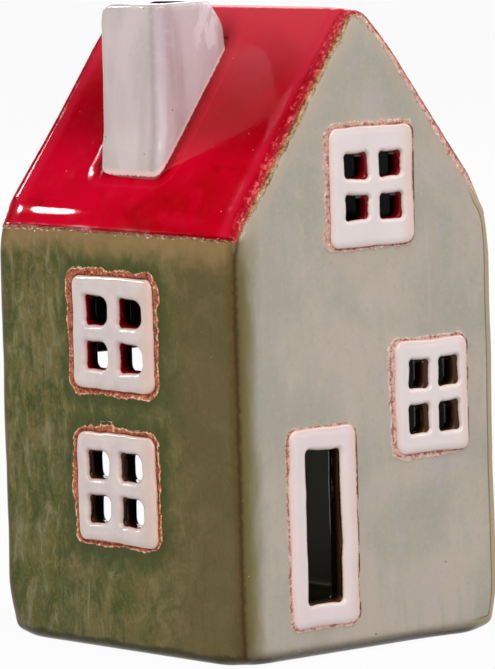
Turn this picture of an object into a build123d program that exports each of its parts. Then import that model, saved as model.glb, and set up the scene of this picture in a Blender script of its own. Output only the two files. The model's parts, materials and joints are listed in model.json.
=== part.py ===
from build123d import *
import math
import os

# Tealight house: a glazed stoneware house joined from clay slabs, with a tealight inside.
# Millimetres, +Z up, origin at the centre of the base. The gable with the door faces -Y, the wall under the
# chimney's roof slope faces -X, and the gable with the large opening for the tealight faces +Y.

# House, overall. Heights are to the corners before they are rounded.
house_width = 80.0
house_depth = 86.2
left_eave_height = 97.8
right_eave_height = 99.8
ridge_height = 151.8
ridge_offset = -0.5

# Rounding of the outer edges
base_edge_radius = 2.0
left_eave_radius = 8.2
right_eave_radius = 10.3
ridge_radius = 5.2
gable_edge_radius = 2.5

# Slab thicknesses
wall_thickness = 4.3
gable_thickness = 4.3
roof_thickness = 5.0
floor_thickness = 5.0

# Relief frames round the windows and the door. The mullion is upright and the crossbar level.
frame_relief = 0.8
frame_edge_radius = 0.6
frame_corner_radius = 2.5
pane_corner_radius = 1.2
window_stile = 3.9
window_mullion = 3.2
window_crossbar = 4.1

# Side windows, the same in both side walls. Shares place their centres on the wall.
side_upper_window_width = 29.0
side_upper_window_height = 26.5
side_upper_pane_height = 6.4
side_lower_window_width = 28.4
side_lower_window_height = 25.8
side_lower_pane_height = 6.3
side_window_depth_share = 0.001
side_upper_window_height_share = 0.756
side_lower_window_height_share = 0.3875

# Front windows, placed by shares of the width, the ridge height and the eave height
front_upper_window_width = 25.6
front_upper_window_height = 27.6
front_upper_pane_height = 5.5
front_upper_window_width_share = 0.0245
front_upper_window_ridge_share = 0.7055
front_lower_window_width = 23.5
front_lower_window_height = 26.7
front_lower_pane_height = 6.5
front_lower_window_width_share = 0.2335
front_lower_window_eave_share = 0.586

# Door
door_frame_width = 20.8
door_frame_height = 46.1
door_frame_height_above_base = 7.1
door_stile = 4.8
door_rail = 5.5
door_width_share = -0.1925

# Rear opening, level with the floor so that the tealight slides in
rear_opening_width = 50.0
rear_opening_height = 60.0
rear_opening_corner_radius = 10.0

# Chimney, on the left roof slope
chimney_width = 16.0
chimney_depth = 22.5
chimney_wall = 3.4
chimney_top_below_ridge = 2.0
chimney_foot_below_ridge = 10.4
chimney_edge_radius = 2.2
chimney_rim_radius = 1.0
flue_corner_radius = 2.0
chimney_side_share = 0.768
chimney_depth_share = 0.0365

# Tealight
cup_diameter = 37.6
cup_height = 15.0
cup_wall = 0.4
cup_bead_radius = 0.5
cup_base_radius = 1.0
tealight_depth_share = 0.139
wax_height = 11.4
wax_clearance = 0.05
wick_diameter = 1.4
wick_height_above_wax = 6.0
sustainer_diameter = 12.0
sustainer_thickness = 0.3
sustainer_neck_wall = 0.35
sustainer_neck_height = 4.0

# Every cut runs this far past the faces that it goes through
overrun = 6.0

half_width = house_width / 2
half_depth = house_depth / 2
outer_left_eave = (-half_width, left_eave_height)
outer_right_eave = (half_width, right_eave_height)
outer_ridge = (ridge_offset, ridge_height)
left_slope = (ridge_height - left_eave_height) / (half_width + ridge_offset)
right_slope = (ridge_height - right_eave_height) / (half_width - ridge_offset)
left_roof_drop = roof_thickness * math.hypot(1, left_slope)
right_roof_drop = roof_thickness * math.hypot(1, right_slope)
inner_ridge_shift = (left_roof_drop - right_roof_drop) / (left_slope + right_slope)
inner_left_eave = (
    wall_thickness - half_width,
    left_eave_height + left_slope * wall_thickness - left_roof_drop,
)
inner_right_eave = (
    half_width - wall_thickness,
    right_eave_height + right_slope * wall_thickness - right_roof_drop,
)
inner_ridge = (
    ridge_offset + inner_ridge_shift,
    ridge_height + left_slope * inner_ridge_shift - left_roof_drop,
)
chimney_top = ridge_height - chimney_top_below_ridge


def prism(face, low_y, high_y):
    """A face drawn in X and Z, carried along Y from low_y to high_y."""
    return extrude(Plane.XZ.offset(-low_y) * face, high_y - low_y, dir=(0, 1, 0))


def polygon(*points):
    """A flat face with straight sides."""
    return make_face(Polyline(*points, close=True).edges())


def beyond(outer, inner):
    """The point past the outer end of a line that starts at the inner end."""
    length = math.hypot(outer[0] - inner[0], outer[1] - inner[1])
    reach = overrun / length
    return (outer[0] + (outer[0] - inner[0]) * reach, outer[1] + (outer[1] - inner[1]) * reach)


def outer_house():
    """The house as one solid block, with its rounded edges."""
    outline = FilletPolyline(
        (-half_width, 0),
        (half_width, 0),
        outer_right_eave,
        outer_ridge,
        outer_left_eave,
        radius=[
            base_edge_radius,
            base_edge_radius,
            right_eave_radius,
            ridge_radius,
            left_eave_radius,
        ],
        close=True,
    )
    block = prism(make_face(outline.edges()), -half_depth, half_depth)
    ends = block.faces().sort_by(Axis.Y)
    return fillet(ends[0].edges() + ends[-1].edges(), gable_edge_radius)


def cavity():
    """The hollow between the gables, the side walls, the floor and the roof slabs."""
    section = polygon(
        (inner_left_eave[0], floor_thickness),
        (inner_right_eave[0], floor_thickness),
        inner_right_eave,
        inner_ridge,
        inner_left_eave,
    )
    return prism(section, gable_thickness - half_depth, half_depth - gable_thickness)


def slab_sections():
    """Where each slab lies in a cross-section, split along the mitres at the eaves and the ridge."""
    left_tip = beyond(outer_left_eave, inner_left_eave)
    right_tip = beyond(outer_right_eave, inner_right_eave)
    ridge_tip = beyond(outer_ridge, inner_ridge)
    return {
        "floor_slab": polygon(
            (left_tip[0], -overrun),
            (right_tip[0], -overrun),
            (right_tip[0], floor_thickness),
            (left_tip[0], floor_thickness),
        ),
        "left_wall": polygon(
            (left_tip[0], floor_thickness),
            (inner_left_eave[0], floor_thickness),
            inner_left_eave,
            left_tip,
        ),
        "right_wall": polygon(
            (right_tip[0], floor_thickness),
            right_tip,
            inner_right_eave,
            (inner_right_eave[0], floor_thickness),
        ),
        "left_roof_slab": polygon(left_tip, inner_left_eave, inner_ridge, ridge_tip),
        "right_roof_slab": polygon(right_tip, ridge_tip, inner_ridge, inner_right_eave),
    }


def wall_face(side, along, up):
    """A plane on an outer wall face, its normal pointing out and its Y axis pointing up."""
    faces = {
        "front": ((along, -half_depth, up), (1, 0, 0), (0, -1, 0)),
        "left": ((-half_width, along, up), (0, -1, 0), (-1, 0, 0)),
        "right": ((half_width, along, up), (0, 1, 0), (1, 0, 0)),
    }
    origin, across, outward = faces[side]
    return Plane(origin=origin, x_dir=across, z_dir=outward)


def relief_frame(face, width, height, holes):
    """A raised frame seated on a wall face, softly rounded, with its holes cut through."""
    plate = extrude(face * RectangleRounded(width, height, frame_corner_radius), frame_relief)
    rim = plate.faces().sort_by(Axis(face.origin, face.z_dir))[-1].edges()
    return fillet(rim, frame_edge_radius) - holes


def through_cut(face, sketch, thickness):
    """A sketch on a wall face, carried outwards past the relief and inwards past the wall."""
    outwards = extrude(face * sketch, frame_relief + overrun)
    inwards = extrude(face * sketch, -thickness - overrun)
    return outwards + inwards


def window(face, width, height, pane_height, thickness):
    """A window's relief frame and the cut for its four panes."""
    pane_width = (width - 2 * window_stile - window_mullion) / 2
    pane = RectangleRounded(pane_width, pane_height, pane_corner_radius)
    across = pane_width + window_mullion
    up = pane_height + window_crossbar
    panes = Sketch() + [place * pane for place in GridLocations(across, up, 2, 2)]
    holes = through_cut(face, panes, thickness)
    return relief_frame(face, width, height, holes), holes


def door():
    """The door's relief frame and the cut for its opening."""
    middle = door_frame_height_above_base + door_frame_height / 2
    face = wall_face("front", door_width_share * house_width, middle)
    opening = RectangleRounded(
        door_frame_width - 2 * door_stile,
        door_frame_height - 2 * door_rail,
        pane_corner_radius,
    )
    hole = through_cut(face, opening, gable_thickness)
    return relief_frame(face, door_frame_width, door_frame_height, hole), hole


def side_windows(side, eave_height):
    """The upper and lower windows of one side wall."""
    along = side_window_depth_share * house_depth
    upper_face = wall_face(side, along, side_upper_window_height_share * eave_height)
    lower_face = wall_face(side, along, side_lower_window_height_share * eave_height)
    return {
        side + "_upper_window_frame": window(
            upper_face,
            side_upper_window_width,
            side_upper_window_height,
            side_upper_pane_height,
            wall_thickness,
        ),
        side + "_lower_window_frame": window(
            lower_face,
            side_lower_window_width,
            side_lower_window_height,
            side_lower_pane_height,
            wall_thickness,
        ),
    }


def front_openings():
    """The two windows and the door of the front gable."""
    upper_face = wall_face(
        "front",
        front_upper_window_width_share * house_width,
        front_upper_window_ridge_share * ridge_height,
    )
    lower_face = wall_face(
        "front",
        front_lower_window_width_share * house_width,
        front_lower_window_eave_share * left_eave_height,
    )
    return {
        "front_upper_window_frame": window(
            upper_face,
            front_upper_window_width,
            front_upper_window_height,
            front_upper_pane_height,
            gable_thickness,
        ),
        "front_lower_window_frame": window(
            lower_face,
            front_lower_window_width,
            front_lower_window_height,
            front_lower_pane_height,
            gable_thickness,
        ),
        "door_frame": door(),
    }


def rear_opening():
    """The cut in the rear gable, flush with the floor and round at its top corners."""
    sketch = Pos(0, floor_thickness + rear_opening_height / 2) * Rectangle(
        rear_opening_width, rear_opening_height
    )
    top_corners = sketch.vertices().group_by(Axis.Y)[-1]
    sketch = fillet(top_corners, rear_opening_corner_radius)
    return prism(sketch, half_depth - gable_thickness - overrun, half_depth + overrun)


def left_roof_z(x):
    """The height of the left roof slope's outer face."""
    return ridge_height + left_slope * (x - ridge_offset)


def flue():
    """The vertical shaft through the chimney and the left roof slab."""
    centre_x = chimney_width / 2 - chimney_side_share * half_width
    bottom = left_roof_z(centre_x - chimney_width / 2) - left_roof_drop
    shaft = RectangleRounded(
        chimney_width - 2 * chimney_wall, chimney_depth - 2 * chimney_wall, flue_corner_radius
    )
    foot = Pos(centre_x, chimney_depth_share * house_depth, bottom - overrun)
    return extrude(foot * shaft, chimney_top - bottom + 2 * overrun)


def chimney(house, shaft):
    """The open chimney: upright on its outer side, flared at the foot towards the ridge."""
    outer_x = -chimney_side_share * half_width
    shoulder = (outer_x + chimney_width, chimney_top)
    foot_x = ridge_offset - chimney_foot_below_ridge / left_slope
    foot = (foot_x, left_roof_z(foot_x))
    section = polygon(
        (outer_x, left_roof_z(outer_x) - overrun),
        (outer_x, chimney_top),
        shoulder,
        beyond(foot, shoulder),
    )
    centre_y = chimney_depth_share * house_depth
    block = prism(section, centre_y - chimney_depth / 2, centre_y + chimney_depth / 2)
    sides = block.faces().sort_by(Axis.X)
    uprights = (sides[0].edges() + sides[-1].edges()).filter_by(Axis.Y, reverse=True)
    block = fillet(uprights, chimney_edge_radius) - shaft
    rim = block.faces().sort_by(Axis.Z)[-1].edges()
    return fillet(rim, chimney_rim_radius) - house


def tealight():
    """The tealight's cup, wax, wick and wick sustainer, standing on the floor slab."""
    seat = Pos(0, tealight_depth_share * house_depth, floor_thickness)
    standing = (Align.CENTER, Align.CENTER, Align.MIN)
    outer_radius = cup_diameter / 2
    inner_radius = outer_radius - cup_wall
    can = Cylinder(outer_radius, cup_height, align=standing)
    can = fillet(can.edges().group_by(Axis.Z)[0], cup_base_radius)
    hollow = Pos(0, 0, cup_wall) * Cylinder(inner_radius, cup_height, align=standing)
    hollow = fillet(hollow.edges().group_by(Axis.Z)[0], cup_base_radius - cup_wall)
    bead = Pos(0, 0, cup_height - cup_bead_radius) * Torus(outer_radius, cup_bead_radius)
    cup = can - hollow + bead

    disc = Cylinder(sustainer_diameter / 2, sustainer_thickness, align=standing)
    neck_radius = wick_diameter / 2 + sustainer_neck_wall
    neck_height = sustainer_thickness + sustainer_neck_height
    neck = Cylinder(neck_radius, neck_height, align=standing)
    wick_foot = Pos(0, 0, sustainer_thickness)
    wick_length = wax_height - sustainer_thickness + wick_height_above_wax
    wick = wick_foot * Cylinder(wick_diameter / 2, wick_length, align=standing)
    sustainer = disc + neck - wick

    wax_radius = inner_radius - wax_clearance
    wax = Cylinder(wax_radius, wax_height, align=standing)
    wax = fillet(wax.edges().group_by(Axis.Z)[0], cup_base_radius - cup_wall)
    wax -= Cylinder(sustainer_diameter / 2 + wax_clearance, sustainer_thickness, align=standing)
    wax -= Cylinder(neck_radius + wax_clearance, neck_height, align=standing)
    wax -= Cylinder(wick_diameter / 2 + wax_clearance, wax_height, align=standing)

    inside = seat * Pos(0, 0, cup_wall)
    return {
        "tealight_cup": seat * cup,
        "tealight_wax": inside * wax,
        "tealight_wick": inside * wick,
        "wick_sustainer": inside * sustainer,
    }


def build():
    """Every node of the house and the tealight, by name."""
    house = outer_house()
    hollow = cavity()
    shaft = flue()
    whole = polygon(
        (-half_width - overrun, -overrun),
        (half_width + overrun, -overrun),
        (half_width + overrun, ridge_height + overrun),
        (-half_width - overrun, ridge_height + overrun),
    )
    inner_front = gable_thickness - half_depth
    inner_rear = half_depth - gable_thickness

    shell = house - hollow
    nodes = {}
    for name, section in slab_sections().items():
        nodes[name] = shell & prism(section, inner_front, inner_rear)
    nodes["front_gable"] = house & prism(whole, -half_depth - overrun, inner_front)
    nodes["rear_gable"] = house & prism(whole, inner_rear, half_depth + overrun)
    nodes["rear_gable"] -= rear_opening()
    nodes["left_roof_slab"] -= shaft
    nodes["chimney"] = chimney(house, shaft)

    reliefs = {
        "left_wall": side_windows("left", left_eave_height),
        "right_wall": side_windows("right", right_eave_height),
        "front_gable": front_openings(),
    }
    for wall, frames in reliefs.items():
        for name, (frame, holes) in frames.items():
            nodes[name] = frame
            nodes[wall] -= holes
    nodes.update(tealight())
    return nodes


os.makedirs("parts", exist_ok=True)
for name, node in build().items():
    node.label = name
    export_step(node, os.path.join("parts", name + ".step"))
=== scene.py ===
import json
import math

import bpy
import numpy as np
from mathutils import Matrix, Vector
from mathutils.bvhtree import BVHTree


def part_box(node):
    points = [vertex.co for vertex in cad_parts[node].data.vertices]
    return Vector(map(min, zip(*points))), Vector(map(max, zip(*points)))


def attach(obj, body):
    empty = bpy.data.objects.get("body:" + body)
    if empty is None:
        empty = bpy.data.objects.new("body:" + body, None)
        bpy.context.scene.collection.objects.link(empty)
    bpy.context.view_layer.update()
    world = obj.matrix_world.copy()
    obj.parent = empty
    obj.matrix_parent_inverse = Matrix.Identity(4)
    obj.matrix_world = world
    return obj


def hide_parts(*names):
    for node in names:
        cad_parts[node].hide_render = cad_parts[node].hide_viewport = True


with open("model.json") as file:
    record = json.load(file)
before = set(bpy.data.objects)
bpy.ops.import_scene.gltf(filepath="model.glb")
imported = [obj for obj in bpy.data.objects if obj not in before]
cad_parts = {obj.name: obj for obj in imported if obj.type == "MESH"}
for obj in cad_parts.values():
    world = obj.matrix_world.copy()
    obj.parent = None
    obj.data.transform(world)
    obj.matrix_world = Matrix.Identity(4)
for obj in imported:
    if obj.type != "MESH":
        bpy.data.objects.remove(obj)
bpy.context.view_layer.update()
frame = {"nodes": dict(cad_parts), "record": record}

MM = 0.001

# Camera, fitted to the outline of the house in the photograph, whose frame is 495 by 669 pixels
CAMERA_AZIMUTH = math.radians(-40.792)
CAMERA_ELEVATION = math.radians(5.7113)
CAMERA_ROLL = math.radians(-1.5141)
CAMERA_FOCAL_PIXELS = 5734.48
PHOTO_HEIGHT_PIXELS = 669
CAMERA_TARGET = Vector((0, 0, 75)) * MM
CAMERA_DISTANCE = 1348.8 * MM
CAMERA_RIGHT_SHIFT = 0.572 * MM
CAMERA_UP_SHIFT = -4.480 * MM

# Detail of the modelled clay
SKIN_VOXEL = 0.62 * MM
CHIMNEY_VOXEL = 0.32 * MM
FRAME_VOXEL = 0.22 * MM
OVERLAP = 0.05 * MM
SEAT_DEPTH = 0.9 * MM
STRIP_STEP = 0.16 * MM
# How far the edges of the laid strips dip into the skin
EDGE_DIP = 0.35 * MM
EAVE_DIP = 0.12 * MM

SLABS = (
    "floor_slab",
    "front_gable",
    "rear_gable",
    "left_wall",
    "right_wall",
    "left_roof_slab",
    "right_roof_slab",
)
OUTWARD = {"left": (-1, 0, 0), "right": (1, 0, 0), "front": (0, -1, 0)}

# Each relief frame's wall, its shifts and its margin, seen from outside. The shifts say how many millimetres
# its left border and its panes' left and right edges move to the right. The margin gives the millimetres of
# bare clay right of it, left of it, above it and below it, and how pale that clay is
UPPER_SHIFTS = (0.0, 0.9, -0.3)
LOWER_SHIFTS = (0.0, 0.2, -1.1)
UPPER_MARGIN = (2.1, 2.1, 1.6, 1.4, 0.05)
LOWER_MARGIN = (1.3, 1.5, 1.6, 0.8, 0.05)
FRAMES = {
    "left_upper_window_frame": ("left", UPPER_SHIFTS, UPPER_MARGIN),
    "left_lower_window_frame": ("left", LOWER_SHIFTS, LOWER_MARGIN),
    "right_upper_window_frame": ("right", UPPER_SHIFTS, UPPER_MARGIN),
    "right_lower_window_frame": ("right", LOWER_SHIFTS, LOWER_MARGIN),
    "front_upper_window_frame": ("front", (0.0, 0.95, 0.25), (0.35, 1.9, 1.3, 0.8, 0.8)),
    "front_lower_window_frame": ("front", (0.9, 0.4, 0.2), (0.3, 0.9, 0.7, 1.1, 1.0)),
    "door_frame": ("front", (0.4, 0.2, -0.5), (0.2, 0.5, 0.3, 0.6, 1.0)),
}
FRAME_CORNER = 2.5 * MM
PANE_CORNER = 1.2 * MM
PANE_ROLL = 1.25 * MM
FOOT_CORNER = 2 * MM
REAR_OPENING_CORNER = 10 * MM
# Stands for no feature nearby
FAR = 99 * MM

# How far the clay is worn or bent
BASE_WEAR = 1.9 * MM
FRONT_BOW = 0.95 * MM
REAR_LEAN = 1.2 * MM
TIP_WEAR = 1.0 * MM

# The chimney: how often its skin is smoothed, how far its foot sinks and flares, and its rim is worn
CHIMNEY_SMOOTHING = 24
FOOT_SINK = 4.0 * MM
FOOT_FLARE = 1.1 * MM
RIM_WEAR = 1.4 * MM
RIM_TIP_WEAR = 1.3 * MM

# The glaze against the chimney's foot: its width, its depth, and how much deeper it is at the rear
POOL_REACH = 6.2 * MM
POOL_DEPTH = 0.25 * MM
POOL_REAR_DEPTH = 0.75 * MM

# The tealight
CUP_BEAD = 0.5 * MM
CUP_SHEET = 0.25 * MM
CUP_FOOT = 1.0 * MM
CUP_RISE = 0.35 * MM
PINHOLE = 0.2 * MM
FLUTES = 60
FLUTE_DEPTH = 0.11 * MM
WAX_GAP = 0.03 * MM
WAX_BORE = 0.75 * MM
WAX_BOTTOM = 0.8 * MM
WICK_TWIST = 3.2 * MM
WICK_LEAN = 0.55 * MM

# Each lamp's azimuth in degrees, where 0 is in front of the door and 90 on the right, its elevation, its
# distance, width and height in metres, its power in watts and the place that it faces
MIDDLE = (0, 0, 0.08)
LAMPS = {
    "key_box": (-12, 40, 1.9, 1.5, 1.1, 26, MIDDLE),
    "left_box": (-80, 28, 1.7, 1.1, 1.1, 14.5, MIDDLE),
    "right_box": (78, 30, 1.8, 1.0, 1.0, 11, MIDDLE),
    "top_box": (0, 82, 1.6, 1.0, 1.0, 8, MIDDLE),
    "rear_box": (145, 24, 1.7, 0.9, 0.9, 9, MIDDLE),
    "hook_box": (-171, 27, 1.3, 0.07, 0.12, 0.9, (-0.038, 0.03, 0.105)),
    "streak_box": (-147, 21, 1.25, 0.055, 0.17, 2.6, (-0.038, 0.024, 0.1)),
}


def corners(node):
    """A node's lowest and highest corner, as arrays."""
    low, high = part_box(node)
    return np.array(low), np.array(high)


FRONT_Y = corners("front_gable")[0][1]
REAR_Y = corners("rear_gable")[1][1]
INNER_FRONT_Y = corners("front_gable")[1][1]
LEFT_X = corners("floor_slab")[0][0]
RIGHT_X = corners("floor_slab")[1][0]
LEFT_EAVE_Z = corners("left_wall")[1][2]
RIGHT_EAVE_Z = corners("right_wall")[1][2]
RIDGE_Z = corners("front_gable")[1][2]
WALL = corners("left_wall")[1][0] - LEFT_X
RELIEF = LEFT_X - corners("left_upper_window_frame")[0][0]


# Large numbers that scatter neighbouring cells and seeds
CELL_MIX = np.array([374761393, 668265263, 1442695041])
SEED_MIX = 974634777
FIRST_MIX = 1274126177
SECOND_MIX = 668265263
LOW_31_BITS = 0x7FFFFFFF
LOW_24_BITS = 0xFFFFFF


def lattice(cell, seed):
    """A repeatable random value from 0 to 1 for each cell of a grid."""
    h = cell.astype(np.int64) @ CELL_MIX + seed * SEED_MIX
    h = (h ^ (h >> 13)) * FIRST_MIX & LOW_31_BITS
    h = (h ^ (h >> 16)) * SECOND_MIX & LOW_31_BITS
    return (h & LOW_24_BITS) / LOW_24_BITS


def waves(points, size, seed):
    """Smooth noise from -1 to 1 with features of about that size."""
    p = points / size
    base = np.floor(p)
    f = p - base
    f = f * f * (3 - 2 * f)
    total = np.zeros(len(p))
    for corner in np.ndindex(2, 2, 2):
        corner = np.array(corner)
        weight = np.prod(np.where(corner, f, 1 - f), axis=1)
        total += weight * lattice(base + corner, seed)
    return total * 2 - 1


def octaves(points, seed, *layers):
    """Noise of several sizes added up, each layer as (size in millimetres, reach), with the next seeds."""
    flat = points.reshape(-1, 3)
    total = sum(reach * waves(flat, size * MM, seed + k) for k, (size, reach) in enumerate(layers))
    return total.reshape(points.shape[:-1])


def ramp(values, low, high):
    """0 below low, 1 above high and smooth between them. High may be the lower, which turns it round."""
    t = np.clip((values - low) / (high - low), 0, 1)
    return t * t * (3 - 2 * t)


def hump(values, middle, width):
    """1 at the middle, falling off smoothly over the width on both sides."""
    return np.exp(-(((values - middle) / width) ** 2))


def vectors(items, key):
    """One vector for each item, as an array."""
    values = np.empty(len(items) * 3, np.float32)
    items.foreach_get(key, values)
    return values.reshape(-1, 3).astype(float)


def vertices_of(mesh):
    """A mesh's vertices as an array."""
    return vectors(mesh.vertices, "co")


def normals_of(mesh):
    """A mesh's vertex normals as an array."""
    return vectors(mesh.vertex_normals, "vector")


def move_vertices(mesh, points):
    """Puts a mesh's vertices at these points."""
    mesh.vertices.foreach_set("co", points.astype(np.float32).ravel())
    mesh.update()


def add_field(mesh, name, values):
    """A value for each vertex, which a material can read by name."""
    layer = mesh.attributes.new(name, "FLOAT", "POINT")
    layer.data.foreach_set("value", np.asarray(values, np.float32))


def mesh_from(name, points, faces):
    """A mesh from an array of points and a list of faces."""
    mesh = bpy.data.meshes.new(name)
    mesh.from_pydata([tuple(p) for p in points], [], faces)
    mesh.update()
    return mesh


def net(rows, columns, closed_rows=False, closed_columns=False, first=0):
    """The faces of a grid of points, written row after row, whose rows and columns may close into rings."""
    faces = []
    for i in range(rows if closed_rows else rows - 1):
        a, b = first + i * columns, first + (i + 1) % rows * columns
        for j in range(columns if closed_columns else columns - 1):
            k = (j + 1) % columns
            faces.append((a + j, b + j, b + k, a + k))
    return faces


def linked(name, data):
    """A new object in the scene."""
    thing = bpy.data.objects.new(name, data)
    bpy.context.scene.collection.objects.link(thing)
    return thing


def new_piece(name, mesh, body, material, slot, *nodes):
    """A smooth piece that rides on a body, takes its finish from the material and stands for some nodes; its
    slot is not used.
    """
    piece = linked(name, mesh)
    mesh.shade_smooth()
    mesh.materials.clear()
    mesh.materials.append(material)
    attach(piece, body)
    if nodes:
        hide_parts(*nodes)
    return piece


def section_outline():
    """The house's rounded cross-section as a convex ring of (x, z), read from the gable's inner face."""
    points = vertices_of(frame["nodes"]["front_gable"].data)
    points = points[np.abs(points[:, 1] - INNER_FRONT_Y) < OVERLAP][:, [0, 2]]
    points = sorted({tuple(np.round(p, 7)) for p in points})

    def half(sequence):
        ring = []
        for p in sequence:
            while len(ring) > 1:
                a, b = ring[-2], ring[-1]
                if (b[0] - a[0]) * (p[1] - a[1]) - (b[1] - a[1]) * (p[0] - a[0]) > 0:
                    break
                ring.pop()
            ring.append(p)
        return ring[:-1]

    return np.array(half(points) + half(points[::-1]))


OUTLINE = section_outline()


def depth_in_section(points):
    """How far inside the cross-section each point is, seen along Y."""
    ends = np.roll(OUTLINE, -1, axis=0)
    along = (ends - OUTLINE) / np.linalg.norm(ends - OUTLINE, axis=1)[:, None]
    inward = np.column_stack([-along[:, 1], along[:, 0]])
    return (points[:, [0, 2]] @ inward.T - np.sum(OUTLINE * inward, axis=1)).min(axis=1)


def roof_plane():
    """The left roof slope's outward normal and its distance from the origin."""
    ends = np.roll(OUTLINE, -1, axis=0)
    on_left = (OUTLINE[:, 0] < 0) & (ends[:, 0] < 0) & (OUTLINE[:, 1] > LEFT_EAVE_Z)
    lengths = np.where(on_left, np.linalg.norm(ends - OUTLINE, axis=1), 0)
    k = int(np.argmax(lengths))
    along = (ends[k] - OUTLINE[k]) / lengths[k]
    normal = np.array([along[1], 0, -along[0]])
    return normal, float(normal @ [OUTLINE[k][0], 0, OUTLINE[k][1]])


ROOF_NORMAL, ROOF_OFFSET = roof_plane()


def rounded_gap(u, v, low, high, radius):
    """The distance from a rounded rectangle's outline, positive outside it."""
    du = np.abs(u - (low[0] + high[0]) / 2) - ((high[0] - low[0]) / 2 - radius)
    dv = np.abs(v - (low[1] + high[1]) / 2) - ((high[1] - low[1]) / 2 - radius)
    outside = np.hypot(np.maximum(du, 0), np.maximum(dv, 0))
    return outside + np.minimum(np.maximum(du, dv), 0) - radius


def wall_axes(side):
    """The way out of a wall, and the way to the right seen from outside."""
    outward = np.array(OUTWARD[side], float)
    return outward, np.cross([0, 0, 1], outward)


def frame_gap(points, node):
    """The distance in the wall's plane from a frame's outline, positive outside it."""
    low, high = corners(node)
    k = 0 if FRAMES[node][0] == "front" else 1
    return rounded_gap(points[:, k], points[:, 2], (low[k], low[2]), (high[k], high[2]), FRAME_CORNER)


def nearest_frame(points):
    """Each point's distance from the nearest frame on its own wall, and whether that is an upper window."""
    slack = 1 * MM
    beside = {
        "left": points[:, 0] < LEFT_X + WALL + slack,
        "right": points[:, 0] > RIGHT_X - WALL - slack,
        "front": points[:, 1] < INNER_FRONT_Y + slack,
    }
    gap = np.full(len(points), FAR)
    upper = np.zeros(len(points))
    for node, (side, *_) in FRAMES.items():
        on_wall = np.nonzero(beside[side])[0]
        own = frame_gap(points[on_wall], node)
        nearer = own < gap[on_wall]
        gap[on_wall[nearer]] = own[nearer]
        upper[on_wall[nearer]] = float("upper" in node)
    return gap, upper


def rear_opening_gap(points):
    """The distance from the rear opening's outline on the rear gable, positive outside it."""
    own = vertices_of(frame["nodes"]["rear_gable"].data)
    inner = own[(np.abs(own[:, 0]) < 0.8 * RIGHT_X) & (own[:, 2] < 0.8 * LEFT_EAVE_Z)]
    inner = inner[(inner[:, 1] > REAR_Y - OVERLAP) & (inner[:, 2] > WALL)]
    reach, top = np.abs(inner[:, 0]).max(), inner[:, 2].max()
    gap = rounded_gap(points[:, 0], points[:, 2], (-reach, -top), (reach, top), REAR_OPENING_CORNER)
    return np.where(points[:, 1] > REAR_Y - 6 * MM, gap, FAR)


def foot_box():
    """The chimney's foot, as its lowest and highest Y and X."""
    low, high = corners("chimney")
    return (low[1], low[0]), (high[1], high[0])


def foot_gap(points):
    """The distance along the roof from the chimney's foot, positive outside it."""
    low, high = foot_box()
    stretch = 1 / ROOF_NORMAL[2]
    low, high = (low[0], low[1] * stretch), (high[0], high[1] * stretch)
    gap = rounded_gap(points[:, 1], points[:, 0] * stretch, low, high, FOOT_CORNER)
    return np.where(points[:, 2] > LEFT_EAVE_Z, gap, FAR)


def colour(red, green, blue):
    """A display colour from 0 to 255, as the linear colour that a material takes."""
    values = np.array([red, green, blue]) / 255
    linear = np.where(values > 0.04045, ((values + 0.055) / 1.055) ** 2.4, values / 12.92)
    return (*[float(v) for v in linear], 1.0)


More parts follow.
